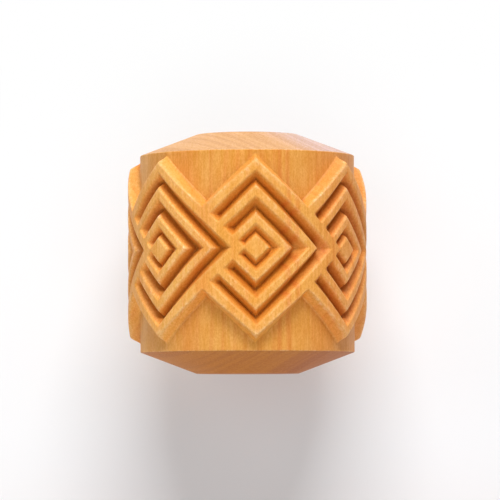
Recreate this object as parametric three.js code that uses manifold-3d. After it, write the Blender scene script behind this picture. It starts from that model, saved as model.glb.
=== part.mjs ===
// Clay texture roller: one turned piece of wood with a frieze of nested diamonds carved round its wall.
// Millimetres. The roller lies on its side: its axis is Y, +Z is up, and the origin is its centre.

import * as THREE from "three";
import { mergeVertices } from "three/addons/utils/BufferGeometryUtils.js";
import Module from "manifold-3d";

const wasm = await Module();
wasm.setup();

// The turned blank
const rollerDiameter = 64; // over the tops of the ridges
const wallLength = 52.6; // from rim to rim
const chamferLength = 5.7; // along the axis, at each end
const endFaceDiameter = 27.4;
const wallFacets = 56; // flats round the wall, with the middle of one at the very bottom

// The carving
const carvingDepth = 3.3; // from the tops of the ridges to the ground between the diamonds
const diamondCount = 7;
const friezeTurn = 4.1; // degrees from the top of the roller to the middle of the first diamond
const friezeShift = 0.45; // of the frieze along the axis, off the middle of the wall

// How far the walls lean out towards their foot, in degrees. The nested grooves are V cuts between two such walls.
const outlineLean = 22; // outside a diamond's outline, down to the ground
const innerWallLean = 26; // the wall of a groove that is nearer to the middle of its diamond
const outerWallLean = 34; // the wall across from it
const endWallLean = 30; // where a groove ends at the next outline

// One diamond, from its middle outwards. A width is measured round the wall and a height along the axis.
const squareHalfWidth = 3.4;
const squareHalfHeight = 3.2;
const innerGrooveWidth = 3.45;
const innerGrooveHeight = 3.25;
const innerRidgeWidth = 2.5;
const innerRidgeHeight = 2.35;
const middleGrooveWidth = 5.45;
const middleGrooveHeight = 4.7;
const outerRidgeWidth = 2.4;
const outerRidgeHeight = 2.7;
const outerGrooveWidth = 5.1;
const outerGrooveHeight = 4.2;
const outlineWidth = 4.7;
const outlineHeight = 2.55;

// Where an outline crosses the next diamond, the grooves there stop this far from the outline's inner edge.
const crossingWidth = 3.5;
const crossingHeight = 3.7;

const bendStep = 4; // longest straight step round the wall
const overcut = 1; // how far a cutting solid runs past the wood that it cuts
const flatness = 0.01; // largest error when nearly flat neighbouring faces are joined

const ridgeRadius = rollerDiameter / 2;
const groundRadius = ridgeRadius - carvingDepth;

/** Turns a closed three.js geometry into a solid that can be joined and cut. */
function solidOf(geometry) {
  const bare = geometry.clone();
  bare.deleteAttribute("normal");
  bare.deleteAttribute("uv");
  const welded = mergeVertices(bare);
  const corners = Array.from(welded.index.array);
  const triangles = [];
  for (let i = 0; i < corners.length; i += 3) {
    const [a, b, c] = corners.slice(i, i + 3);
    if (a !== b && b !== c && c !== a) {
      triangles.push(a, b, c);
    }
  }
  return new wasm.Manifold(
    new wasm.Mesh({
      numProp: 3,
      vertProperties: new Float32Array(welded.attributes.position.array),
      triVerts: new Uint32Array(triangles),
    }),
  );
}

/** Turns a finished solid back into a three.js geometry. */
function geometryOf(solid) {
  const mesh = solid.getMesh();
  const geometry = new THREE.BufferGeometry();
  geometry.setAttribute("position", new THREE.BufferAttribute(new Float32Array(mesh.vertProperties), 3));
  geometry.setIndex(new THREE.BufferAttribute(new Uint32Array(mesh.triVerts), 1));
  return geometry;
}

/** Turns a profile of [radius, place along the axis] pairs, with the radius measured to the flats. */
function turned(profile) {
  const halfFacet = Math.PI / wallFacets;
  const points = profile.map(([radius, place]) => new THREE.Vector2(radius / Math.cos(halfFacet), place));
  return solidOf(new THREE.LatheGeometry(points, wallFacets, -halfFacet));
}

/** A diamond line: half of its width round the wall, and half of its height along the axis. */
function line(halfWidth, halfHeight) {
  return { halfWidth, halfHeight };
}

/** The line that lies one band further out. */
function widened(inner, width, height) {
  return line(inner.halfWidth + width, inner.halfHeight + height);
}

/**
 * A block with the outline of a diamond line, bent round the axis. The line is its size at the tops of the ridges, and
 * its sides lean outwards going down, by degrees, or inwards where lean is negative.
 */
function bentDiamond({ halfWidth, halfHeight }, turn, lean) {
  const low = groundRadius - overcut;
  const high = ridgeRadius + overcut;
  const steps = 2 * Math.ceil(halfWidth / bendStep);
  const reach = (halfWidth * halfHeight) / Math.hypot(halfWidth, halfHeight);
  const outward = Math.tan(THREE.MathUtils.degToRad(lean));
  const block = new THREE.BoxGeometry(2, 2, 1, steps, 1, 1);
  const corner = new THREE.Vector3();
  for (let i = 0; i < block.attributes.position.count; i += 1) {
    corner.fromBufferAttribute(block.attributes.position, i);
    const radius = corner.z > 0 ? high : low;
    const growth = 1 + ((ridgeRadius - radius) * outward) / reach;
    const angle = turn + (corner.x * halfWidth * growth) / ridgeRadius;
    const place = friezeShift + corner.y * (1 - Math.abs(corner.x)) * halfHeight * growth;
    block.attributes.position.setXYZ(i, radius * Math.sin(angle), place, radius * Math.cos(angle));
  }
  return solidOf(block);
}

const square = line(squareHalfWidth, squareHalfHeight);
const innerGroove = widened(square, innerGrooveWidth, innerGrooveHeight);
const innerRidge = widened(innerGroove, innerRidgeWidth, innerRidgeHeight);
const middleGroove = widened(innerRidge, middleGrooveWidth, middleGrooveHeight);
const outerRidge = widened(middleGroove, outerRidgeWidth, outerRidgeHeight);
const outerGroove = widened(outerRidge, outerGrooveWidth, outerGrooveHeight);
const outline = widened(outerGroove, outlineWidth, outlineHeight);
const crossing = widened(outerGroove, crossingWidth, crossingHeight);

/** The three nested grooves of the diamond at an angle, each ending at the outline of the diamond before it. */
function nestedGrooves(turn, turnBefore) {
  const neighbour = bentDiamond(crossing, turnBefore, endWallLean);
  const grooves = [
    [innerGroove, square],
    [middleGroove, innerRidge],
    [outerGroove, outerRidge],
  ].map(([outer, inner]) => bentDiamond(outer, turn, -outerWallLean).subtract(bentDiamond(inner, turn, innerWallLean)));
  return wasm.Manifold.union(grooves).subtract(neighbour);
}

/** The raised frieze: every diamond's block at the height of the ridges, less all their grooves. */
function carvedFrieze() {
  const pitch = (2 * Math.PI) / diamondCount;
  const turns = Array.from({ length: diamondCount }, (_, i) => THREE.MathUtils.degToRad(friezeTurn) + i * pitch);
  const blocks = turns.map((turn) => bentDiamond(outline, turn, outlineLean));
  const grooves = turns.map((turn) => nestedGrooves(turn, turn - pitch));
  const ridgeTops = turned([
    [0, -wallLength / 2],
    [ridgeRadius, -wallLength / 2],
    [ridgeRadius, wallLength / 2],
    [0, wallLength / 2],
  ]);
  return wasm.Manifold.union(blocks).intersect(ridgeTops).subtract(wasm.Manifold.union(grooves));
}

/** The turned core: the ground of the carving, the two long chamfers and the two end faces. */
function turnedCore() {
  const rim = wallLength / 2;
  const end = rim + chamferLength;
  return turned([
    [0, -end],
    [endFaceDiameter / 2, -end],
    [groundRadius, -rim],
    [groundRadius, rim],
    [endFaceDiameter / 2, end],
    [0, end],
  ]);
}

const carvedRoller = new THREE.Mesh(
  geometryOf(turnedCore().add(carvedFrieze()).simplify(flatness)),
  new THREE.MeshStandardMaterial({ color: 0xe6a25c, roughness: 0.55, metalness: 0, flatShading: true }),
);
carvedRoller.name = "carved_roller";

const clayTextureRoller = new THREE.Group();
clayTextureRoller.add(carvedRoller);

export default clayTextureRoller;
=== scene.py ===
"""Clay texture roller: one turned and carved piece of oiled hardwood, lying on a pale studio floor.

The roller's axis is Y, +Z is up and the origin is its centre. The roller's own sizes are in millimetres,
and its mesh is scaled to metres when it is made. The studio's sizes are in metres, and angles are in degrees.
"""

import logging
import math
from dataclasses import dataclass, field
from enum import Enum

import bmesh
import bpy
import numpy as np
from mathutils import Matrix, Vector
from mathutils.geometry import delaunay_2d_cdt

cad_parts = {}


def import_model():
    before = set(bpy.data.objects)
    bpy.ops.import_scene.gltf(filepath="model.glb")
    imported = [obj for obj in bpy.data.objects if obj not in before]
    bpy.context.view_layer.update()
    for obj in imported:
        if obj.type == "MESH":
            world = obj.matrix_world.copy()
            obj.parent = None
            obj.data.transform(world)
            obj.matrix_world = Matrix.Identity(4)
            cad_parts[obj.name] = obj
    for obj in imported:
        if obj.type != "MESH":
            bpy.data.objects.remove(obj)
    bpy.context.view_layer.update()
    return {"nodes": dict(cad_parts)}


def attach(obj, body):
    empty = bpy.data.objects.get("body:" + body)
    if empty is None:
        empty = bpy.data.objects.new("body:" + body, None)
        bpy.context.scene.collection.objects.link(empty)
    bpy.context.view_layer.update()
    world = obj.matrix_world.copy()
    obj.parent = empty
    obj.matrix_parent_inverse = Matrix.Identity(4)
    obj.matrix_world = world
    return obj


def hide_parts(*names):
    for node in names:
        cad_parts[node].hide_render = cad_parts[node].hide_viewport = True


METRES = 0.001
PIECE = "carved_roller"

Colour = tuple[float, float, float, float]
Socket = bpy.types.NodeSocket
Source = Socket | float | tuple[float, ...]

WHITE: Colour = (1.0, 1.0, 1.0, 1.0)

log = logging.getLogger("clay_texture_roller")


def eased_ramp(distance: np.ndarray, radius: float) -> np.ndarray:
    """A ramp that starts at zero and climbs one for one, with its corner rounded.

    Args:
        distance: Distances past the start of the ramp.
        radius: How far the rounding reaches to each side of the start.

    Returns:
        The height of the ramp at each distance.
    """
    curved = (distance + radius) ** 2 / (4 * radius)
    return np.where(distance < -radius, 0.0, np.where(distance > radius, distance, curved))


def joined(first: np.ndarray, second: np.ndarray) -> np.ndarray:
    """The higher of two shares of standing wood, with the valley between them filled a little.

    Args:
        first: Shares from zero to one.
        second: Shares of another form at the same places.

    Returns:
        The joined shares.
    """
    sharpness = 12
    return np.minimum((first**sharpness + second**sharpness) ** (1 / sharpness), 1.0)


def ripple(places: np.ndarray, length: float, seed: int) -> np.ndarray:
    """Smooth waves without a repeat, from minus one to one, as sanding by hand leaves them.

    Args:
        places: Points as rows of three coordinates.
        length: The mean length of the waves, in the unit of the points.
        seed: Picks the directions of the waves.

    Returns:
        The height of the waves at each point.
    """
    waves = 6
    shortest, longest = 0.7, 1.5
    draw = np.random.default_rng(seed)
    total = np.zeros(len(places))
    for _ in range(waves):
        way = draw.normal(size=3)
        way *= 2 * math.pi / (length * draw.uniform(shortest, longest) * np.linalg.norm(way))
        total += np.sin(places @ way + draw.uniform(0, 2 * math.pi))
    return total / waves


def triangulated(points: np.ndarray, edges: np.ndarray) -> tuple[np.ndarray, np.ndarray]:
    """Fills the outline of flat points with triangles that keep the given edges.

    Args:
        points: Rows of two coordinates.
        edges: Pairs of point numbers.

    Returns:
        The points of the mesh, and its triangles, which turn anticlockwise.
    """
    meeting = 1e-4
    whole_outline = 0
    flat = [Vector(point) for point in points.tolist()]
    made = delaunay_2d_cdt(flat, edges.tolist(), [], whole_outline, meeting, False)
    corners = np.array([tuple(point) for point in made[0]])
    triangles = np.array(made[2])
    a, b, c = (corners[triangles[:, i]] for i in range(3))
    area = (b[:, 0] - a[:, 0]) * (c[:, 1] - a[:, 1]) - (b[:, 1] - a[:, 1]) * (c[:, 0] - a[:, 0])
    return corners, np.where(area[:, None] < 0, triangles[:, ::-1], triangles)


def even_points(width: float, height: float, step: float) -> np.ndarray:
    """Points of a triangular lattice that fill a rectangle about the origin.

    Args:
        width: The rectangle's width.
        height: Its height.
        step: The distance between points.

    Returns:
        Rows of two coordinates, none nearer to an edge than half a step.
    """
    row_step = step * math.sqrt(0.75)
    across = np.arange(-width / 2 + step / 2, width / 2 - step, step)
    along = np.arange(-height / 2 + step / 2, height / 2 - step / 2, row_step)
    x, y = np.meshgrid(across, along)
    x[1::2] += step / 2
    return np.column_stack([x.ravel(), y.ravel()])


def clear_of(points: np.ndarray, taken: np.ndarray, gap: float) -> np.ndarray:
    """The points that have nothing near them.

    Args:
        points: Rows of two coordinates.
        taken: The points to stay clear of.
        gap: How far to stay clear.

    Returns:
        The rows that are kept.
    """
    free = [np.hypot(*(taken - point).T).min() > gap for point in points]
    return points[free]


@dataclass(frozen=True)
class Skin:
    """A stretch of surface in millimetres.

    Its recess says how deep each point lies among the wood around it, and its groove how deep it lies in a
    nested groove.
    """

    points: np.ndarray
    outward: np.ndarray
    faces: list[list[int]]
    recess: np.ndarray
    groove: np.ndarray

    def mirrored(self) -> "Skin":
        """The same stretch at the other end of the roller.

        Returns:
            The mirrored stretch, with its faces turned outwards again.
        """
        flip = np.array([1.0, -1.0, 1.0])
        faces = [face[::-1] for face in self.faces]
        return Skin(self.points * flip, self.outward * flip, faces, self.recess, self.groove)


@dataclass(frozen=True)
class DiamondLine:
    """One of the nested lines of a diamond, measured at the tops of the ridges."""

    half_width: float
    half_height: float
    corner_ease: float = 0.16

    @property
    def reach(self) -> float:
        """How far the sides of the line lie from the middle of the diamond."""
        return self.half_width * self.half_height / math.hypot(self.half_width, self.half_height)

    def distance(self, x: np.ndarray, y: np.ndarray) -> np.ndarray:
        """How far points lie outside the line, whose four corners are eased.

        Args:
            x: Places round the wall, from the middle of the diamond.
            y: Places along the axis, from the middle of the diamond.

        Returns:
            The distances, which are negative inside.
        """
        across = np.sqrt(x * x + self.corner_ease**2) / self.half_width
        along = np.sqrt(y * y + self.corner_ease**2) / self.half_height
        return (across + along - 1) * self.reach

    def valley(self, inner: "DiamondLine", own_run: float, inner_run: float) -> "DiamondLine":
        """The bottom of the V cut between this line and one inside it.

        Args:
            inner: The line inside this one.
            own_run: How far the wall at this line leans in.
            inner_run: How far the wall at the inner line leans out over the same depth.

        Returns:
            The line where the two walls meet.
        """
        own, other = self.reach / own_run, inner.reach / inner_run
        half_width = (own + other) / (own / self.half_width + other / inner.half_width)
        half_height = (own + other) / (own / self.half_height + other / inner.half_height)
        return DiamondLine(half_width, half_height)

    def quarter(self, offset: float, step: float) -> np.ndarray:
        """A quarter of the line that lies some way outside this one, from its right-hand to its upper corner.

        Args:
            offset: How far outside.
            step: The longest distance between points.

        Returns:
            Rows of x and y.
        """
        corner_steps = np.array([0.0, 0.4, 1.0, 2.0])
        fewest = 3
        rounds = 12
        scale = 1 + offset / self.reach
        side = math.hypot(self.half_width, self.half_height) * scale
        near = corner_steps * self.corner_ease / side
        inner = np.linspace(near[-1], 1 - near[-1], max(fewest, math.ceil(side / step)))
        share = np.concatenate([near[:-1], inner, 1 - near[-2::-1]])
        x = scale * self.half_width * (1 - share)
        y = scale * self.half_height * share
        size = np.ones_like(share)
        for _ in range(rounds):
            wide = np.sqrt((size * x) ** 2 + self.corner_ease**2)
            high = np.sqrt((size * y) ** 2 + self.corner_ease**2)
            miss = wide / self.half_width + high / self.half_height - scale
            slope = size * x * x / (wide * self.half_width) + size * y * y / (high * self.half_height)
            size -= miss / slope
        return np.column_stack([x * size, y * size])

    def loop(self, offset: float, step: float) -> np.ndarray:
        """The whole line that lies some way outside this one.

        Args:
            offset: How far outside.
            step: The longest distance between points.

        Returns:
            Rows of x and y, with the first point again at the end.
        """
        quarter = self.quarter(offset, step)
        half = np.concatenate([quarter, quarter[-2::-1] * (-1, 1)])
        return np.concatenate([half, half[-2::-1] * (1, -1)])


@dataclass(frozen=True)
class Carving:
    """The frieze of nested diamonds round the wall, each of which lies over the next one."""

    ridge_radius: float = 32.0
    depth: float = 3.3

    # How far the walls lean out towards their foot, in degrees
    outline_lean: float = 22.0
    inner_lean: float = 26.0
    outer_lean: float = 34.0
    end_lean: float = 30.0

    # How many diamonds there are, the place of the first one in degrees, and how far all lie off the middle
    count: int = 7
    turn: float = 4.1
    shift: float = 0.45

    # How far the roundings reach to each side of an arris or a foot
    arris: float = 0.32
    foot_fillet: float = 0.3
    groove_fillet: float = 0.75

    # The mesh: its steps along the lines and in the open, and what it keeps clear of them
    line_step: float = 0.7
    line_slack: float = 0.1
    open_step: float = 1.0
    open_gap: float = 0.45
    post_gap: float = 0.05
    valley_spread: float = 0.6

    # Where the wood around a point is looked up, to tell how deep the point lies in it
    recess_reaches: tuple[float, ...] = (0.7, 1.4, 2.1)
    recess_turns: int = 12

    # The lines of one diamond, from its middle outwards, and the one where the next diamond's grooves stop
    square: DiamondLine = DiamondLine(3.4, 3.2)
    inner_groove: DiamondLine = DiamondLine(6.85, 6.45)
    inner_ridge: DiamondLine = DiamondLine(9.35, 8.8)
    middle_groove: DiamondLine = DiamondLine(14.8, 13.5)
    outer_ridge: DiamondLine = DiamondLine(17.2, 16.2)
    outer_groove: DiamondLine = DiamondLine(22.3, 20.4)
    outline: DiamondLine = DiamondLine(27.0, 22.95)
    crossing: DiamondLine = DiamondLine(25.8, 24.1)

    @property
    def ground_radius(self) -> float:
        """Radius of the ground between the ridges."""
        return self.ridge_radius - self.depth

    @property
    def pitch(self) -> float:
        """From one diamond to the next, round the tops of the ridges."""
        return 2 * math.pi * self.ridge_radius / self.count

    @property
    def start(self) -> float:
        """From the top of the roller to the middle of the first diamond, round the tops of the ridges."""
        return math.radians(self.turn) * self.ridge_radius

    @property
    def grooves(self) -> tuple[tuple[DiamondLine, DiamondLine], ...]:
        """The nested grooves of a diamond, from its middle outwards.

        Returns:
            The outer and inner line of each groove.
        """
        return (
            (self.inner_groove, self.square),
            (self.middle_groove, self.inner_ridge),
            (self.outer_groove, self.outer_ridge),
        )

    def run(self, lean: float) -> float:
        """How far out from its arris a wall with a lean in degrees reaches the ground."""
        return self.depth * math.tan(math.radians(lean))

    def left(self, distance: np.ndarray, lean: float, fillet: float) -> np.ndarray:
        """The share of the depth that a leaning wall with a rounded foot leaves standing past its arris."""
        run = self.run(lean)
        return 1 - (eased_ramp(distance, self.arris) - eased_ramp(distance - run, fillet)) / run

    def shares(self, u: np.ndarray, v: np.ndarray) -> tuple[np.ndarray, np.ndarray]:
        """What was left of the wood at places of the wall, and what the nested grooves took of that again.

        Args:
            u: Places round the wall, measured at the tops of the ridges.
            v: Places along the axis.

        Returns:
            Two lists of shares of the depth of the carving: the diamonds without their grooves, and the
            grooves.
        """
        past = (u - self.start + self.pitch / 2) % self.pitch - self.pitch / 2
        y = v - self.shift
        standing = np.zeros_like(y)
        cut = np.zeros_like(y)
        for neighbour in (-1, 0, 1):
            x = past - neighbour * self.pitch
            block = self.left(self.outline.distance(x, y), self.outline_lean, self.foot_fillet)
            standing = joined(standing, block)
            end_wall = self.left(self.crossing.distance(x + self.pitch, y), self.end_lean, self.groove_fillet)
            for outer, inner in self.grooves:
                outer_wall = self.left(-outer.distance(x, y), self.outer_lean, self.groove_fillet)
                inner_wall = self.left(inner.distance(x, y), self.inner_lean, self.groove_fillet)
                cut = np.maximum(cut, 1 - joined(joined(outer_wall, inner_wall), end_wall))
        return standing, standing * cut

    def height(self, u: np.ndarray, v: np.ndarray) -> np.ndarray:
        """Heights of the carving above the ground, at places round the wall and along the axis."""
        standing, groove = self.shares(u, v)
        return self.depth * (standing - groove)

    def recess(self, u: np.ndarray, v: np.ndarray) -> np.ndarray:
        """How deep places lie among the wood that stands around them.

        Args:
            u: Places round the wall, measured at the tops of the ridges.
            v: Places along the axis.

        Returns:
            Shares from minus one, on an arris, through zero in the open, to one at the bottom of a narrow
            groove.
        """
        own = self.height(u, v)
        total = np.zeros_like(own)
        for reach in self.recess_reaches:
            for turn in np.linspace(0, 2 * math.pi, self.recess_turns, endpoint=False):
                total += self.height(u + reach * math.cos(turn), v + reach * math.sin(turn)) - own
        return total / (self.recess_turns * len(self.recess_reaches) * self.depth)

    def shows(self, line: DiamondLine, x: np.ndarray, y: np.ndarray) -> np.ndarray:
        """Whether a diamond's line bounds anything at points of it.

        Args:
            line: One of the lines.
            x: Places round the wall, from the middle of its diamond.
            y: Places along the axis, from the middle of the diamond.

        Returns:
            True for each point where the line is carved.
        """
        slack = self.arris + self.line_slack
        if line is self.outline:
            return np.minimum(*(line.distance(x + side * self.pitch, y) for side in (-1, 1))) > -slack
        if line is self.crossing:
            within = [
                np.minimum(-outer.distance(x - self.pitch, y), inner.distance(x - self.pitch, y))
                for outer, inner in self.grooves
            ]
            return np.max(within, axis=0) > -slack
        return self.crossing.distance(x + self.pitch, y) > -slack

    def carved_lines(self) -> list[tuple[DiamondLine, np.ndarray]]:
        """Every line of a diamond, with how far outside it the mesh needs edges.

        Returns:
            The outline, the crossing, and the two arrises and the bottom of each groove.
        """
        spread = np.array([-1, -1 / 3, 1 / 3, 1])
        arris = self.arris * spread
        foot = self.run(self.outline_lean) + self.foot_fillet * spread
        end_foot = self.run(self.end_lean) + self.groove_fillet * spread[:-1]
        lines = [
            (self.outline, np.concatenate([arris, foot])),
            (self.crossing, np.concatenate([arris, end_foot])),
        ]
        for outer, inner in self.grooves:
            bottom = outer.valley(inner, self.run(self.outer_lean), self.run(self.inner_lean))
            valley = self.groove_fillet * spread * self.valley_spread
            lines += [(outer, arris), (inner, arris), (bottom, valley)]
        return lines

    def carved_edges(self) -> np.ndarray:
        """Every short edge along the carved lines, in one pitch to each side of a diamond's middle.

        Returns:
            An array of edges by two ends by two coordinates.
        """
        edges = []
        for line, offsets in self.carved_lines():
            for offset in offsets:
                points = line.loop(offset, self.line_step)
                pairs = np.stack([points[:-1], points[1:]], axis=1)
                middle = pairs.mean(axis=1)
                pairs = pairs[self.shows(line, middle[:, 0], middle[:, 1])]
                edges += [pairs + (neighbour * self.pitch, self.shift) for neighbour in (-1, 0, 1)]
        return np.concatenate(edges)

    def clipped(self, edges: np.ndarray) -> np.ndarray:
        """Cuts edges off at the sides of one pitch.

        Args:
            edges: An array of edges by two ends by two coordinates.

        Returns:
            The edges inside, some of them shortened.
        """
        for side in (-self.pitch / 2, self.pitch / 2):
            beyond = edges[:, :, 0] * np.sign(side) > abs(side)
            edges = edges[~beyond.all(axis=1)]
            beyond = beyond[~beyond.all(axis=1)]
            for i in np.flatnonzero(beyond.any(axis=1)):
                out = int(beyond[i, 1])
                end, start = edges[i, out], edges[i, 1 - out]
                share = (side - start[0]) / (end[0] - start[0])
                edges[i, out] = (side, start[1] + share * (end[1] - start[1]))
        return edges

    def border(self, edges: np.ndarray, half_length: float, columns: int) -> np.ndarray:
        """The four sides of one pitch of the wall, with a point wherever an edge meets a side.

        Args:
            edges: The edges inside, as an array of edges by two ends by two coordinates.
            half_length: From the middle of the wall to its upper and lower edge.
            columns: How many edges its upper and lower edge have.

        Returns:
            The edges of the sides, of which the left and the right one match.
        """
        side = self.pitch / 2
        on_side = 1e-9
        met = edges[np.abs(edges[:, :, 0] + side) < on_side][:, 1]
        plain = np.linspace(-half_length, half_length, math.ceil(half_length / self.open_step))
        posts = np.sort(np.concatenate([met, plain]))
        posts = posts[np.concatenate([[True], np.diff(posts) > self.post_gap]) | np.isin(posts, met)]
        rims = np.linspace(-side, side, columns + 1)
        sides = []
        for x in (-side, side):
            upright = np.column_stack([np.full_like(posts, x), posts])
            sides.append(np.stack([upright[:-1], upright[1:]], axis=1))
        for y in (-half_length, half_length):
            level = np.column_stack([rims, np.full_like(rims, y)])
            sides.append(np.stack([level[:-1], level[1:]], axis=1))
        return np.concatenate(sides)

    def unit(self, half_length: float, columns: int) -> tuple[np.ndarray, np.ndarray]:
        """The flat mesh of one pitch of the wall, whose two sides match.

        Args:
            half_length: From the middle of the wall to its upper and lower edge.
            columns: How many edges its upper and lower edge have.

        Returns:
            The points, measured from the middle of a diamond, and the triangles.
        """
        decimals = 6
        edges = self.clipped(self.carved_edges())
        edges = np.concatenate([edges, self.border(edges, half_length, columns)])
        ends = np.round(edges.reshape(-1, 2), decimals)
        points, numbers = np.unique(ends, axis=0, return_inverse=True)
        numbers = numbers.reshape(-1, 2)
        numbers = numbers[numbers[:, 0] != numbers[:, 1]]
        inside = even_points(self.pitch, 2 * half_length, self.open_step)
        inside = clear_of(inside, points, self.open_step * self.open_gap)
        return triangulated(np.concatenate([points, inside]), numbers)


@dataclass(frozen=True)
class Blank:
    """The turned piece of wood before it is carved: a wall, two long chamfers and two flat ends."""

    wall_length: float = 52.6
    chamfer_length: float = 5.7
    end_face_diameter: float = 27.4
    rim_round: float = 0.35
    end_round: float = 0.45
    round_points: int = 6
    slope_points: int = 10

    @property
    def half_length(self) -> float:
        """From the middle of the roller to each end face."""
        return self.wall_length / 2 + self.chamfer_length

    def fall(self, wall_radius: float) -> float:
        """The angle in radians by which the chamfer falls away from a wall of this radius."""
        return math.atan2(wall_radius - self.end_face_diameter / 2, self.chamfer_length)

    def wall_reach(self, wall_radius: float) -> float:
        """From the middle of the wall to where the rounding of its rim starts, for a wall of this radius."""
        return self.wall_length / 2 - self.rim_round * math.tan(self.fall(wall_radius) / 2)

    def profile(self, wall_radius: float) -> np.ndarray:
        """The outline of the upper end, from the start of the rim's rounding to the edge of the end face.

        Args:
            wall_radius: Radius of the wall at its rims.

        Returns:
            Rows of radius, place along the axis, outward direction across and along the axis, and the share
            of pale edge, partly wear and partly painted highlight, from zero to one.
        """
        end_radius = self.end_face_diameter / 2
        fall = self.fall(wall_radius)
        rim = (wall_radius, self.wall_length / 2, 0.0, fall, self.rim_round)
        edge = (end_radius, self.half_length, fall, math.pi / 2, self.end_round)
        rows = []
        for radius, place, start, stop, rounding in (rim, edge):
            half = (stop - start) / 2
            back = rounding / math.cos(half)
            centre = (radius - back * math.cos(start + half), place - back * math.sin(start + half))
            for share in np.linspace(0, 1, self.round_points):
                angle = start + share * (stop - start)
                way = (math.cos(angle), math.sin(angle))
                wear_and_highlight_share = math.sin(math.pi * share)
                rows.append((centre[0] + rounding * way[0], centre[1] + rounding * way[1], *way, wear_and_highlight_share))
        corner = self.round_points
        slope = np.linspace(rows[corner - 1], rows[corner], self.slope_points)[1:-1]
        return np.concatenate([rows[:corner], slope, rows[corner:]])


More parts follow.
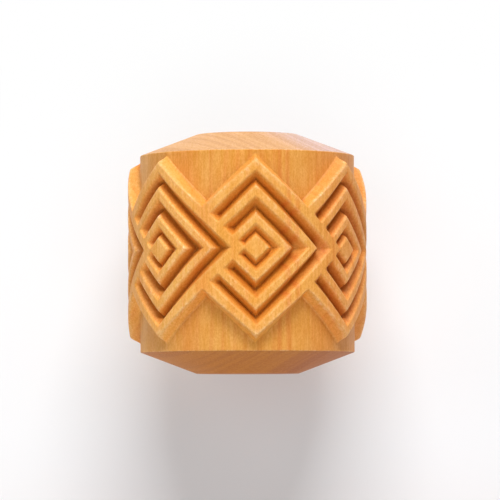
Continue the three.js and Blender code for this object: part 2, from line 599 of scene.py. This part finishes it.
@dataclass(frozen=True)
class CarvedRoller:
    """The roller: its carved wall, its chamfers and its end faces, as one closed skin."""

    blank: Blank = field(default_factory=Blank)
    carving: Carving = field(default_factory=Carving)

    # The mesh: its edges round a rim, its steps inside an end face, and the distance over which points join
    columns_per_diamond: int = 40
    end_step: float = 1.2
    end_gap: float = 0.7
    weld: float = 0.002

    # The waver of the lines and the unevenness from sanding, both of which die out this near to the rims
    line_wobble: float = 0.09
    wobble_length: float = 13.0
    wobble_seeds: tuple[int, int] = (11, 12)
    sanding_depth: float = 0.03
    sanding_length: float = 10.0
    sanding_seed: int = 13
    rim_hold: float = 2.0

    # How pale the turned edges are made, partly as wear and partly as painted highlight, from zero to one
    edge_wear_and_highlight: float = 0.26

    def at(self, u: np.ndarray) -> tuple[np.ndarray, np.ndarray]:
        """Which way the wall faces and runs at places round it.

        Args:
            u: Places round the wall, measured at the tops of the ridges.

        Returns:
            The directions outward and round the wall.
        """
        turn = u / self.carving.ridge_radius
        still = np.zeros_like(turn)
        outward = np.column_stack([np.sin(turn), still, np.cos(turn)])
        return outward, np.column_stack([np.cos(turn), still, -np.sin(turn)])

    def wall(self) -> Skin:
        """The carved wall between the two rims.

        Returns:
            The stretch of surface, from the start of one rim's rounding to that of the other.
        """
        nudge = 0.01
        carving = self.carving
        reach = self.blank.wall_reach(carving.ground_radius)
        flat, triangles = carving.unit(reach, self.columns_per_diamond)
        u = np.concatenate([flat[:, 0] + carving.start + i * carving.pitch for i in range(carving.count)])
        v = np.tile(flat[:, 1], carving.count)
        faces = np.concatenate([triangles + i * len(flat) for i in range(carving.count)])
        recess = np.tile(carving.recess(flat[:, 0] + carving.start, flat[:, 1]), carving.count)
        groove = carving.shares(u, v)[1]
        rise_u = (carving.height(u + nudge, v) - carving.height(u - nudge, v)) / (2 * nudge)
        rise_v = (carving.height(u, v + nudge) - carving.height(u, v - nudge)) / (2 * nudge)
        outward, around = self.at(u)
        axis = np.array([[0.0, 1.0, 0.0]])
        smooth = outward * carving.ridge_radius + axis * v[:, None]
        loose = np.clip((reach - np.abs(v)) / self.rim_hold, 0, 1)
        sanded = loose * self.sanding_depth * (1 + ripple(smooth, self.sanding_length, self.sanding_seed)) / 2
        radius = (carving.ground_radius + carving.height(u, v) - sanded)[:, None]
        seed_round, seed_along = self.wobble_seeds
        u = u + loose * self.line_wobble * ripple(smooth, self.wobble_length, seed_round)
        along = v + loose * self.line_wobble * ripple(smooth, self.wobble_length, seed_along)
        stretch = radius / carving.ridge_radius
        normal = outward * stretch - around * rise_u[:, None] - axis * (rise_v[:, None] * stretch)
        normal /= np.linalg.norm(normal, axis=1)[:, None]
        points = self.at(u)[0] * radius + axis * along[:, None]
        return Skin(points, normal, faces.tolist(), recess, groove)

    def end_disc(self, rim: np.ndarray) -> tuple[np.ndarray, np.ndarray]:
        """The flat end face inside its edge.

        Args:
            rim: Rows of two coordinates, once round the edge.

        Returns:
            The points, which start with the edge's own, and the triangles.
        """
        numbers = np.arange(len(rim))
        edges = np.column_stack([numbers, (numbers + 1) % len(rim)])
        width = self.blank.end_face_diameter
        inside = even_points(width, width, self.end_step)
        inside = inside[np.hypot(*inside.T) < np.hypot(*rim[0])]
        return triangulated(np.concatenate([rim, clear_of(inside, rim, self.end_gap)]), edges)

    def upper_end(self) -> Skin:
        """The upper rim, chamfer and end face.

        Returns:
            The stretch of surface, whose recess is below zero at the turned edges, which get pale marks that
            are partly wear and partly painted highlight.
        """
        carving = self.carving
        columns = self.columns_per_diamond * carving.count
        u = carving.start - carving.pitch / 2 + np.arange(columns) * carving.pitch / self.columns_per_diamond
        outward, _ = self.at(u)
        axis = np.array([[0.0, 1.0, 0.0]])
        profile = self.blank.profile(carving.ground_radius)
        points = [outward * radius + axis * place for radius, place, _, _, _ in profile]
        normals = [outward * across + axis * along for _, _, across, along, _ in profile]
        faces = []
        for row in range(len(profile) - 1):
            for i in range(columns):
                low, high = row * columns + i, row * columns + (i + 1) % columns
                faces.append([low, high, high + columns, low + columns])
        disc, triangles = self.end_disc(points[-1][:, [2, 0]])
        faces += (triangles + len(profile) * columns).tolist()
        points.append(np.column_stack([disc[:, 1], np.full(len(disc), self.blank.half_length), disc[:, 0]]))
        normals.append(np.tile(axis, (len(disc), 1)))
        wear_and_highlight_share = np.repeat(profile[:, 4], columns)
        recess = np.concatenate([wear_and_highlight_share * -self.edge_wear_and_highlight, np.zeros(len(disc))])
        return Skin(np.concatenate(points), np.concatenate(normals), faces, recess, np.zeros_like(recess))

    def weld_seams(self, mesh: bpy.types.Mesh) -> None:
        """Joins the points that two stretches of surface have in common, and reports what stays open.

        Args:
            mesh: The roller's mesh, in metres.
        """
        work = bmesh.new()
        work.from_mesh(mesh)
        bmesh.ops.remove_doubles(work, verts=work.verts, dist=self.weld * METRES)
        work.to_mesh(mesh)
        open_edges = sum(not edge.is_manifold for edge in work.edges)
        work.free()
        counts = (len(mesh.vertices), len(mesh.polygons), open_edges)
        log.info("carved roller: %d points, %d faces, %d open edges", *counts)

    def mesh(self) -> bpy.types.Mesh:
        """The whole roller, in metres, shaded by the true directions of its surface.

        Returns:
            One closed mesh, with the recess and the groove of each point.
        """
        end = self.upper_end()
        skins = [self.wall(), end, end.mirrored()]
        points, faces = [], []
        for skin in skins:
            first = sum(len(part) for part in points)
            points.append(skin.points)
            faces += [[corner + first for corner in face] for face in skin.faces]
        mesh = bpy.data.meshes.new(PIECE)
        mesh.from_pydata((np.concatenate(points) * METRES).tolist(), [], faces)
        layer = mesh.attributes.new("outward", "FLOAT_VECTOR", "POINT")
        outward = np.concatenate([skin.outward for skin in skins])
        layer.data.foreach_set("vector", outward.ravel().astype(np.float32))
        for name in ("recess", "groove"):
            layer = mesh.attributes.new(name, "FLOAT", "POINT")
            shares = np.concatenate([getattr(skin, name) for skin in skins])
            layer.data.foreach_set("value", shares.astype(np.float32))
        self.weld_seams(mesh)
        ways = np.zeros(len(mesh.vertices) * 3, np.float32)
        mesh.attributes["outward"].data.foreach_get("vector", ways)
        mesh.attributes.remove(mesh.attributes["outward"])
        mesh.shade_smooth()
        mesh.normals_split_custom_set_from_vertices(ways.reshape(-1, 3).tolist())
        return mesh

    def piece(self, finish: bpy.types.Material) -> bpy.types.Object:
        """Makes the roller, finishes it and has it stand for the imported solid.

        Args:
            finish: The wood.

        Returns:
            The roller.
        """
        roller = bpy.data.objects.new("turned_and_carved_roller", self.mesh())
        bpy.context.scene.collection.objects.link(roller)
        roller.data.materials.append(finish)
        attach(roller, "root")
        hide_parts(PIECE)
        return roller


class Output(Enum):
    """What the nodes of a sheet make up."""

    MATERIAL = "ShaderNodeOutputMaterial"
    WORLD = "ShaderNodeOutputWorld"


class Blend(Enum):
    """How one colour goes over another."""

    PLAIN = "MIX"
    MULTIPLIED = "MULTIPLY"


class Maths(Enum):
    """Arithmetic on one, two or three numbers."""

    ADD = "ADD"
    SUBTRACT = "SUBTRACT"
    MULTIPLY = "MULTIPLY"
    MULTIPLY_ADD = "MULTIPLY_ADD"
    DIVIDE = "DIVIDE"
    POWER = "POWER"
    ROOT = "SQRT"
    ABSOLUTE = "ABSOLUTE"
    FRACTION = "FRACT"
    MAXIMUM = "MAXIMUM"


@dataclass(frozen=True)
class Grain:
    """How fine a cloudy noise is across and along the wood, and how many and rough its finer layers are."""

    across: float
    along: float
    detail: float = 2.0
    rough: float = 0.5


@dataclass(frozen=True)
class Tint:
    """A colour that comes over another as some value goes from one bound to the other."""

    start: float
    full: float
    colour: Colour


class NodeSheet:
    """The shader nodes of one material or world, added and wired by what they do."""

    def __init__(self, tree: bpy.types.NodeTree) -> None:
        """Takes over the nodes of a material or of the world, and empties them."""
        self.tree = tree
        tree.nodes.clear()

    def node(self, kind: str, **settings: str) -> bpy.types.Node:
        """Adds one node.

        Args:
            kind: The node's type.
            **settings: Its options.

        Returns:
            The node.
        """
        made = self.tree.nodes.new(kind)
        for name, value in settings.items():
            setattr(made, name, value)
        return made

    def feed(self, socket: Socket, value: Source) -> None:
        """Gives a socket another node's output, or a plain value.

        Args:
            socket: The socket.
            value: What it gets.
        """
        if isinstance(value, Socket):
            self.tree.links.new(value, socket)
        else:
            socket.default_value = value

    def sum_of(self, operation: Maths, *values: Source) -> Socket:
        """Arithmetic on numbers.

        Args:
            operation: The kind of arithmetic.
            *values: Numbers or outputs.

        Returns:
            The result.
        """
        node = self.node("ShaderNodeMath", operation=operation.value)
        for socket, value in zip(node.inputs, values):
            self.feed(socket, value)
        return node.outputs[0]

    def product(self, first: Source, second: Source) -> Socket:
        """Two numbers or outputs multiplied."""
        return self.sum_of(Maths.MULTIPLY, first, second)

    def parts(self, place: Socket) -> bpy.types.NodeOutputs:
        """The coordinates of a place.

        Args:
            place: The place.

        Returns:
            Three outputs, one for each coordinate.
        """
        node = self.node("ShaderNodeSeparateXYZ")
        self.feed(node.inputs[0], place)
        return node.outputs

    def stretched(self, place: Socket, stretch: tuple[float, float, float]) -> Socket:
        """A place with each of its coordinates multiplied.

        Args:
            place: The place.
            stretch: What its coordinates are multiplied by.

        Returns:
            The new place.
        """
        node = self.node("ShaderNodeVectorMath", operation="MULTIPLY")
        self.feed(node.inputs[0], place)
        self.feed(node.inputs[1], stretch)
        return node.outputs[0]

    def noise(self, place: Socket, grain: Grain) -> Socket:
        """Cloudy noise.

        Args:
            place: Where it is read.
            grain: Its scale.

        Returns:
            The noise, from zero to one.
        """
        node = self.node("ShaderNodeTexNoise")
        self.feed(node.inputs["Vector"], self.stretched(place, (grain.across, grain.along, grain.across)))
        self.feed(node.inputs["Scale"], 1.0)
        self.feed(node.inputs["Detail"], grain.detail)
        self.feed(node.inputs["Roughness"], grain.rough)
        return node.outputs["Fac"]

    def between(self, value: Socket, low: float, high: float) -> Socket:
        """How far a value is from one bound to another, eased.

        Args:
            value: The value.
            low: Where the result is zero.
            high: Where the result is one.

        Returns:
            The share.
        """
        node = self.node("ShaderNodeMapRange", interpolation_type="SMOOTHSTEP")
        for name, given in (("Value", value), ("From Min", low), ("From Max", high)):
            self.feed(node.inputs[name], given)
        return node.outputs["Result"]

    def mixed(self, share: Source, first: Source, second: Source, blend: Blend = Blend.PLAIN) -> Socket:
        """Two colours mixed.

        Args:
            share: How much of the second one.
            first: A colour or an output.
            second: Another one.
            blend: How they are mixed.

        Returns:
            The colour.
        """
        colour_inputs, colour_output = (0, 6, 7), 2
        node = self.node("ShaderNodeMix", data_type="RGBA", blend_type=blend.value)
        for i, value in zip(colour_inputs, (share, first, second)):
            self.feed(node.inputs[i], value)
        return node.outputs[colour_output]

    def tinted(self, colour: Source, value: Socket, tint: Tint) -> Socket:
        """A colour multiplied by a tint as far as a value goes."""
        return self.mixed(self.between(value, tint.start, tint.full), colour, tint.colour, Blend.MULTIPLIED)

    def seen(self) -> Socket:
        """Whether light goes to the camera, straight, mirrored or through glass.

        Returns:
            One for what the camera sees and zero for other light.
        """
        rays = self.node("ShaderNodeLightPath").outputs
        straight_or_mirrored = self.sum_of(Maths.MAXIMUM, rays["Is Camera Ray"], rays["Is Glossy Ray"])
        return self.sum_of(Maths.MAXIMUM, straight_or_mirrored, rays["Is Transmission Ray"])

    def show(self, shader: Socket, output: Output = Output.MATERIAL) -> None:
        """Puts a shader out as the surface of a material, or as the world."""
        self.feed(self.node(output.value).inputs["Surface"], shader)


def screen_colour(red: int, green: int, blue: int) -> Colour:
    """A colour as it is read off a screen, turned into the light that it stands for.

    Args:
        red: From 0 to 255.
        green: From 0 to 255.
        blue: From 0 to 255.

    Returns:
        The linear colour, with full alpha.
    """
    knee, slope, offset, power, full = 0.04045, 12.92, 0.055, 2.4, 255
    shares = [part / full for part in (red, green, blue)]
    light = [
        share / slope if share <= knee else ((share + offset) / (1 + offset)) ** power
        for share in shares
    ]
    return (*light, 1.0)


@dataclass(frozen=True)
class HeavyYear:
    """A broad, dark yearly ring: how far it lies from the pith, half of its width, and how dark it is."""

    distance: float
    half_width: float
    strength: float


class End(Enum):
    """One end of the roller, and the direction in which it lies along the axis."""

    UPPER = 1
    LOWER = -1


@dataclass(frozen=True)
class EndWithPaintedLight:
    """The colour of one end of the roller, from its rim to its end face, with the light or shade that falls
    on that end painted in.
    """

    end: End
    sapwood_in_its_light: Colour
    heartwood_in_its_light: Colour


class WoodSheet(NodeSheet):
    """The nodes of the wood, with the place in it in millimetres and how far that is from the pith."""

    def __init__(self, tree: bpy.types.NodeTree, pith: tuple[float, float]) -> None:
        """Empties the tree and finds the place.

        Args:
            tree: The nodes of the material.
            pith: Where the pith lies across the roller.
        """
        super().__init__(tree)
        to_millimetres = (1 / METRES, 1 / METRES, 1 / METRES)
        self.place = self.stretched(self.node("ShaderNodeTexCoord").outputs["Object"], to_millimetres)
        self.from_pith = self.from_axis(pith)

    def from_axis(self, axis: tuple[float, float]) -> Socket:
        """How far the place is from a line that lies along the roller.

        Args:
            axis: Where the line lies across the roller.

        Returns:
            The distance in millimetres.
        """
        parts = self.parts(self.place)
        across = [
            self.sum_of(Maths.POWER, self.sum_of(Maths.SUBTRACT, parts[i], middle), 2.0)
            for i, middle in zip((0, 2), axis)
        ]
        return self.sum_of(Maths.ROOT, self.sum_of(Maths.ADD, *across))

    def grain(self, grain: Grain) -> Socket:
        """Cloudy noise that runs through the wood."""
        return self.noise(self.place, grain)


@dataclass(frozen=True)
class OiledHardwood:
    """Pale, close-grained hardwood, sanded and oiled to a satin sheen, with painted shade deep in its grooves
    that partly stands for oil and dust there.
    """

    # Where the pith and the roller's own axis lie, across the roller
    pith: tuple[float, float] = (78.0, -38.0)
    middle: tuple[float, float] = (0.0, 0.0)

    # Yearly rings, with three heavy ones
    ring_width: float = 2.4
    drift: Grain = Grain(0.045, 0.012)
    drift_reach: float = 8.0
    late_season: tuple[float, float] = (0.5, 0.95)
    season_end: tuple[float, float] = (1.0, 0.96)
    patches: Grain = Grain(0.12, 0.02)
    patch_edge: tuple[float, float] = (0.35, 0.7)
    late_strength: float = 0.35
    waver: Grain = Grain(0.3, 0.05)
    waver_reach: float = 1.6
    year_fade: float = 1.6
    heavy_years: tuple[HeavyYear, ...] = (
        HeavyYear(93.3, 0.7, 0.5),
        HeavyYear(95.7, 0.65, 0.55),
        HeavyYear(112.3, 1.4, 0.3),
    )

    # The wood's own colour, with tints by the distance from the pith; the pale bark side, on the roller's
    # left, is partly painted sheen
    clouds: Grain = Grain(0.16, 0.05, detail=3.0, rough=0.55)
    cloud_edge: tuple[float, float] = (0.3, 0.7)
    pale: Colour = screen_colour(234, 171, 85)
    warm: Colour = screen_colour(231, 161, 70)
    late: Colour = screen_colour(220, 122, 45)
    heart_side: Tint = Tint(94.0, 80.0, screen_colour(253, 243, 252))
    bark_side_and_painted_sheen: Tint = Tint(108.0, 117.0, (1.08, 1.13, 1.28, 1.0))

    # Tints by the distance from the axis, for the ground, the cut walls and the tops of the ridges
    ground: Tint = Tint(29.4, 28.75, screen_colour(243, 236, 226))
    # The cut walls' own tone, made paler in blue partly as painted sheen on the lit walls
    wall: Colour = screen_colour(255, 245, 228)
    ridge_top: Tint = Tint(31.4, 31.9, screen_colour(253, 247, 238))

    # The two ends beyond the rims: a lit and a shaded copy of one end grain, the upper end paler with painted
    # sheen and the lower end darker and more saturated with painted shade
    rim: float = 26.3
    rim_blur: float = 0.1
    bands: Grain = Grain(0.7, 0.03)
    band_edge: tuple[float, float] = (0.35, 0.65)
    end_rings: Colour = screen_colour(243, 234, 222)
    ends: tuple[EndWithPaintedLight, ...] = (
        # The upper end carries painted sheen, the lower end painted shade
        EndWithPaintedLight(End.UPPER, screen_colour(211, 160, 106), screen_colour(206, 173, 160)),
        EndWithPaintedLight(End.LOWER, screen_colour(187, 114, 28), screen_colour(171, 98, 34)),
    )

    # Painted shade by how deep a point lies, which partly stands for oil and dust in the hollows, and pale
    # edges, which are partly wear and partly painted highlight
    groove: Tint = Tint(0.05, 0.38, screen_colour(230, 208, 170))
    deep: Tint = Tint(0.4, 0.85, screen_colour(236, 240, 218))
    recess_oil_and_painted_shade: Tint = Tint(0.15, 0.5, screen_colour(232, 212, 182))
    # Pale arris colour: partly wear, partly painted highlight
    wear_and_painted_highlight: Tint = Tint(-0.08, -0.3, screen_colour(250, 212, 156))
    pale_edge_patches: Grain = Grain(0.9, 0.9, detail=3.0, rough=0.7)
    pale_edge_patch_edge: tuple[float, float] = (0.46, 0.68)
    pale_edge_patch_strength: float = 0.5
    least_pale_edge: float = 0.16

    # Fibres and short flecks
    fibres: Grain = Grain(1.7, 0.14, detail=3.0, rough=0.65)
    fibre_edge: tuple[float, float] = (0.3, 0.7)
    fibre_strength: float = 0.8
    pale_fibre: Colour = (1.06, 1.12, 1.4, 1.0)
    dark_fibre: Colour = (0.94, 0.88, 0.62, 1.0)
    flecks: Grain = Grain(2.7, 1.4, rough=0.75)
    fleck_edge: tuple[float, float] = (0.34, 0.66)
    fleck_strength: float = 1.0
    pale_fleck: Colour = (1.05, 1.11, 1.27, 1.0)
    dark_fleck: Colour = (0.95, 0.89, 0.75, 1.0)

    # The sanded surface: its relief in metres, its sheen and its roughness
    fine: Grain = Grain(7.0, 0.5, rough=0.6)
    fine_share: float = 0.6
    relief: float = 0.00006
    relief_strength: float = 0.6
    sheen: float = 0.29
    roughness: float = 0.42
    fibre_roughness: float = 0.2

    def rings(self, sheet: WoodSheet) -> Socket:
        """The dark late wood of the yearly rings about the pith, which lies outside the roller.

        Args:
            sheet: Where the nodes go.

        Returns:
            How much late wood there is at the place.
        """
        drift, waver = sheet.grain(self.drift), sheet.grain(self.waver)
        drifted = sheet.sum_of(Maths.MULTIPLY_ADD, drift, self.drift_reach, sheet.from_pith)
        season = sheet.sum_of(Maths.FRACTION, sheet.sum_of(Maths.DIVIDE, drifted, self.ring_width))
        late = sheet.between(season, *self.late_season)
        late = sheet.product(late, sheet.between(season, *self.season_end))
        late = sheet.product(late, sheet.between(sheet.grain(self.patches), *self.patch_edge))
        late = sheet.product(late, self.late_strength)
        wavering = sheet.sum_of(Maths.MULTIPLY_ADD, waver, self.waver_reach, sheet.from_pith)
        for year in self.heavy_years:
            off = sheet.sum_of(Maths.SUBTRACT, wavering, year.distance + self.waver_reach / 2)
            off = sheet.sum_of(Maths.ABSOLUTE, off)
            dark = sheet.product(sheet.between(off, year.half_width * self.year_fade, 0.0), year.strength)
            late = sheet.sum_of(Maths.MAXIMUM, late, dark)
        return late

    def grown(self, sheet: WoodSheet) -> Socket:
        """The wood's own colour: paler and darker stretches, yearly rings, and its heart and bark sides, the
        pale bark side partly painted sheen.

        Args:
            sheet: Where the nodes go.

        Returns:
            The colour.
        """
        cloudy = sheet.between(sheet.grain(self.clouds), *self.cloud_edge)
        colour = sheet.mixed(cloudy, self.pale, self.warm)
        colour = sheet.mixed(self.rings(sheet), colour, self.late)
        colour = sheet.tinted(colour, sheet.from_pith, self.heart_side)
        return sheet.tinted(colour, sheet.from_pith, self.bark_side_and_painted_sheen)

    def carved(self, sheet: WoodSheet, colour: Socket) -> Socket:
        """Sets the ground, the cut walls and the tops of the ridges apart.

        Args:
            sheet: Where the nodes go.
            colour: The wood's own colour.

        Returns:
            The new colour.
        """
        radius = sheet.from_axis(self.middle)
        above = sheet.between(radius, self.ground.full, self.ground.start)
        below = sheet.between(radius, self.ridge_top.full, self.ridge_top.start)
        colour = sheet.tinted(colour, radius, self.ground)
        colour = sheet.mixed(sheet.product(above, below), colour, self.wall, Blend.MULTIPLIED)
        return sheet.tinted(colour, radius, self.ridge_top)

    def ended(self, sheet: WoodSheet, colour: Socket) -> Socket:
        """Gives the two ends their own wood, banded by its rings, with painted sheen on the paler upper end
        and painted shade on the darker lower end.

        Args:
            sheet: Where the nodes go.
            colour: The colour of the rest.

        Returns:
            The new colour.
        """
        parts = sheet.parts(sheet.place)
        across = sheet.node("ShaderNodeCombineXYZ")
        sheet.feed(across.inputs[0], sheet.from_pith)
        sheet.feed(across.inputs[1], parts[0])
        bands = sheet.between(sheet.noise(across.outputs[0], self.bands), *self.band_edge)
        heart = sheet.between(sheet.from_pith, self.heart_side.start, self.heart_side.full)
        for wood in self.ends:
            inside, beyond = self.rim - self.rim_blur, self.rim + self.rim_blur
            on_end = sheet.between(parts[1], wood.end.value * inside, wood.end.value * beyond)
            tone = sheet.mixed(heart, wood.sapwood_in_its_light, wood.heartwood_in_its_light)
            tone = sheet.mixed(bands, tone, self.end_rings, Blend.MULTIPLIED)
            colour = sheet.mixed(on_end, colour, tone)
        return colour

    def painted_shade_and_wear(self, sheet: WoodSheet, colour: Socket) -> Socket:
        """Paints shade into what lies deep, partly standing for oil and dust there, and pales the edges in
        patches, partly as wear and partly as painted highlight.

        Args:
            sheet: Where the nodes go.
            colour: The colour before that.

        Returns:
            The new colour.
        """
        recess = sheet.node("ShaderNodeAttribute", attribute_name="recess").outputs["Fac"]
        groove = sheet.node("ShaderNodeAttribute", attribute_name="groove").outputs["Fac"]
        # Painted shade in the grooves and recesses, partly standing for oil and dust
        for value, tint in ((groove, self.groove), (groove, self.deep), (recess, self.recess_oil_and_painted_shade)):
            colour = sheet.tinted(colour, value, tint)
        # Pale edges in patches: partly wear, partly painted highlight along the arrises
        pale_edge_patches = sheet.between(sheet.grain(self.pale_edge_patches), *self.pale_edge_patch_edge)
        pale_edge_patches = sheet.sum_of(Maths.MULTIPLY_ADD, pale_edge_patches, self.pale_edge_patch_strength, self.least_pale_edge)
        wear_and_painted_highlight = sheet.product(sheet.between(recess, self.wear_and_painted_highlight.start, self.wear_and_painted_highlight.full), pale_edge_patches)
        return sheet.mixed(wear_and_painted_highlight, colour, self.wear_and_painted_highlight.colour)

    def figured(self, sheet: WoodSheet, colour: Socket, fibres: Socket, flecks: Socket) -> Socket:
        """Draws the fibres and the short flecks into the colour.

        Args:
            sheet: Where the nodes go.
            colour: The colour without them.
            fibres: The noise of the fibres.
            flecks: The noise of the flecks.

        Returns:
            The new colour.
        """
        streaks = sheet.mixed(sheet.between(fibres, *self.fibre_edge), self.pale_fibre, self.dark_fibre)
        specks = sheet.mixed(sheet.between(flecks, *self.fleck_edge), self.pale_fleck, self.dark_fleck)
        colour = sheet.mixed(self.fibre_strength, colour, streaks, Blend.MULTIPLIED)
        return sheet.mixed(self.fleck_strength, colour, specks, Blend.MULTIPLIED)

    def material(self) -> bpy.types.Material:
        """The wood as a solid pattern, with its grain in its colour, its relief and its sheen.

        Returns:
            The material.
        """
        made = bpy.data.materials.new("oiled_hardwood")
        made.use_nodes = True
        sheet = WoodSheet(made.node_tree, self.pith)
        fibres, fine, flecks = (sheet.grain(grain) for grain in (self.fibres, self.fine, self.flecks))
        colour = self.ended(sheet, self.carved(sheet, self.grown(sheet)))
        colour = self.figured(sheet, self.painted_shade_and_wear(sheet, colour), fibres, flecks)
        rough = sheet.sum_of(Maths.MULTIPLY_ADD, fibres, self.fibre_roughness, self.roughness)
        bump = sheet.node("ShaderNodeBump")
        sheet.feed(bump.inputs["Height"], sheet.sum_of(Maths.MULTIPLY_ADD, fine, self.fine_share, flecks))
        bump.inputs["Distance"].default_value = self.relief
        bump.inputs["Strength"].default_value = self.relief_strength
        shader = sheet.node("ShaderNodeBsdfPrincipled")
        sheet.feed(shader.inputs["Base Color"], colour)
        sheet.feed(shader.inputs["Roughness"], rough)
        sheet.feed(shader.inputs["Normal"], bump.outputs[0])
        shader.inputs["Specular IOR Level"].default_value = self.sheen
        sheet.show(shader.outputs[0])
        return made


@dataclass(frozen=True)
class PalePaper:
    """Matt pale paper, with a painted shadow that makes it a little darker in front of the roller, that the
    camera sees fade to plain white.
    """

    # Places on the paper are in metres from the point under the roller's middle
    back: Colour = (0.895, 0.893, 0.908, 1.0)
    # Painted shadow: the paper darkens further in front of the roller, carrying the roller's shadow on
    front: Tint = Tint(-0.045, -0.085, (0.86, 0.825, 0.825, 1.0))
    fade_centre: tuple[float, float, float] = (0.012, -0.075, 0.0)
    fade: tuple[float, float] = (0.04, 0.15)

    def material(self) -> bpy.types.Material:
        """The paper, which keeps the roller's shadow near the roller.

        Returns:
            The material.
        """
        made = bpy.data.materials.new("pale_paper")
        made.use_nodes = True
        sheet = NodeSheet(made.node_tree)
        place = sheet.node("ShaderNodeTexCoord").outputs["Object"]
        painted_shadow_share = sheet.between(sheet.parts(place)[1], self.front.start, self.front.full)
        matt = sheet.node("ShaderNodeBsdfDiffuse")
        sheet.feed(matt.inputs["Color"], sheet.mixed(painted_shadow_share, self.back, self.front.colour))
        glow = sheet.node("ShaderNodeEmission")
        glow.inputs["Color"].default_value = WHITE
        glow.inputs["Strength"].default_value = 1.0
        away = sheet.node("ShaderNodeVectorMath", operation="DISTANCE")
        sheet.feed(away.inputs[0], place)
        sheet.feed(away.inputs[1], self.fade_centre)
        far = sheet.between(away.outputs["Value"], *self.fade)
        blend = sheet.node("ShaderNodeMixShader")
        sheet.feed(blend.inputs[0], sheet.product(far, sheet.seen()))
        sheet.feed(blend.inputs[1], matt.outputs[0])
        sheet.feed(blend.inputs[2], glow.outputs[0])
        sheet.show(blend.outputs[0])
        return made


@dataclass(frozen=True)
class SoftLamp:
    """A soft lamp that points at the roller. Its azimuth is measured from +Y towards +X."""

    name: str
    azimuth: float
    elevation: float
    power: float
    width: float = 0.75
    height: float = 0.75
    distance: float = 1.2

    def hang(self) -> bpy.types.Object:
        """Puts the lamp in its place.

        Returns:
            The lamp.
        """
        data = bpy.data.lights.new(self.name, "AREA")
        data.shape = "RECTANGLE"
        data.size = self.width
        data.size_y = self.height
        data.energy = self.power
        lamp = bpy.data.objects.new(self.name, data)
        bpy.context.scene.collection.objects.link(lamp)
        turn, rise = math.radians(self.azimuth), math.radians(self.elevation)
        way = Vector((math.sin(turn) * math.cos(rise), math.cos(turn) * math.cos(rise), math.sin(rise)))
        lamp.location = way * self.distance
        lamp.rotation_euler = way.to_track_quat("Z", "Y").to_euler()
        return lamp


@dataclass(frozen=True)
class CameraAbove:
    """The camera almost straight above the roller, looking at its middle."""

    # The distance is in metres, the angles are in degrees, and the lens and the sensor are in millimetres
    distance: float = 1.0372
    tilt: float = 2.397
    roll: float = -0.154
    lens: float = 278.4
    sensor: float = 36.0
    shift: tuple[float, float] = (0.0054, 0.0086)

    def place(self) -> bpy.types.Object:
        """Puts the camera in its place and makes it the scene's.

        Returns:
            The camera.
        """
        tilt, roll = math.radians(self.tilt), math.radians(self.roll)
        ahead = Vector((0, math.sin(tilt), -math.cos(tilt)))
        up = Vector((0, math.cos(tilt), math.sin(tilt)))
        right = Vector((1, 0, 0))
        turned_right = right * math.cos(roll) + up * math.sin(roll)
        turned_up = up * math.cos(roll) - right * math.sin(roll)
        data = bpy.data.cameras.new("camera_above")
        data.lens = self.lens
        data.sensor_width = self.sensor
        data.shift_x, data.shift_y = self.shift
        camera = bpy.data.objects.new("camera_above", data)
        turning = Matrix((turned_right, turned_up, -ahead)).transposed()
        camera.matrix_world = Matrix.Translation(ahead * -self.distance) @ turning.to_4x4()
        bpy.context.scene.collection.objects.link(camera)
        bpy.context.scene.camera = camera
        return camera


@dataclass(frozen=True)
class Studio:
    """The pale floor, the soft lamps, the bright surroundings and the camera above the roller."""

    floor_level: float = -0.032
    floor_width: float = 8.0
    paper: PalePaper = field(default_factory=PalePaper)
    camera: CameraAbove = field(default_factory=CameraAbove)
    lamps: tuple[SoftLamp, ...] = (
        SoftLamp("key_softbox", 3.5, 35.0, 16.4, width=0.8, height=0.5),
        SoftLamp("left_softbox", -75.0, 32.0, 2.0),
        SoftLamp("right_softbox", 62.0, 42.0, 1.1),
        SoftLamp("left_front_softbox", -158.0, 45.0, 3.5),
        SoftLamp("right_front_softbox", 150.0, 46.0, 3.3),
        SoftLamp("front_softbox", 180.0, 41.0, 2.8),
    )

    def floor(self) -> bpy.types.Object:
        """A wide, plain floor that the roller lies on.

        Returns:
            The floor.
        """
        half = self.floor_width / 2
        corners = [(-half, -half, 0), (half, -half, 0), (half, half, 0), (-half, half, 0)]
        mesh = bpy.data.meshes.new("studio_floor")
        mesh.from_pydata(corners, [], [(0, 1, 2, 3)])
        mesh.materials.append(self.paper.material())
        floor = bpy.data.objects.new("studio_floor", mesh)
        floor.location.z = self.floor_level
        bpy.context.scene.collection.objects.link(floor)
        return floor

    def surroundings(self) -> None:
        """White for the camera and in reflections. The lamps alone light the roller."""
        world = bpy.data.worlds.new("bright_room")
        bpy.context.scene.world = world
        world.use_nodes = True
        sheet = NodeSheet(world.node_tree)
        glow = sheet.node("ShaderNodeBackground")
        glow.inputs["Color"].default_value = WHITE
        sheet.feed(glow.inputs["Strength"], sheet.seen())
        sheet.show(glow.outputs[0], Output.WORLD)

    def build(self) -> None:
        """Builds the whole studio."""
        self.floor()
        self.surroundings()
        for lamp in self.lamps:
            lamp.hang()
        self.camera.place()
        bpy.context.scene.view_settings.view_transform = "Standard"


def main() -> None:
    """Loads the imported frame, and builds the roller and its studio."""
    logging.basicConfig(level=logging.INFO, format="%(name)s: %(message)s")
    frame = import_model()
    log.info("packed solids: %s", ", ".join(sorted(frame["nodes"])))
    roller = CarvedRoller().piece(OiledHardwood().material())
    log.info("%s replaces the packed solid", roller.name)
    Studio().build()
    log.info("studio built")


if __name__ == "__main__":
    main()
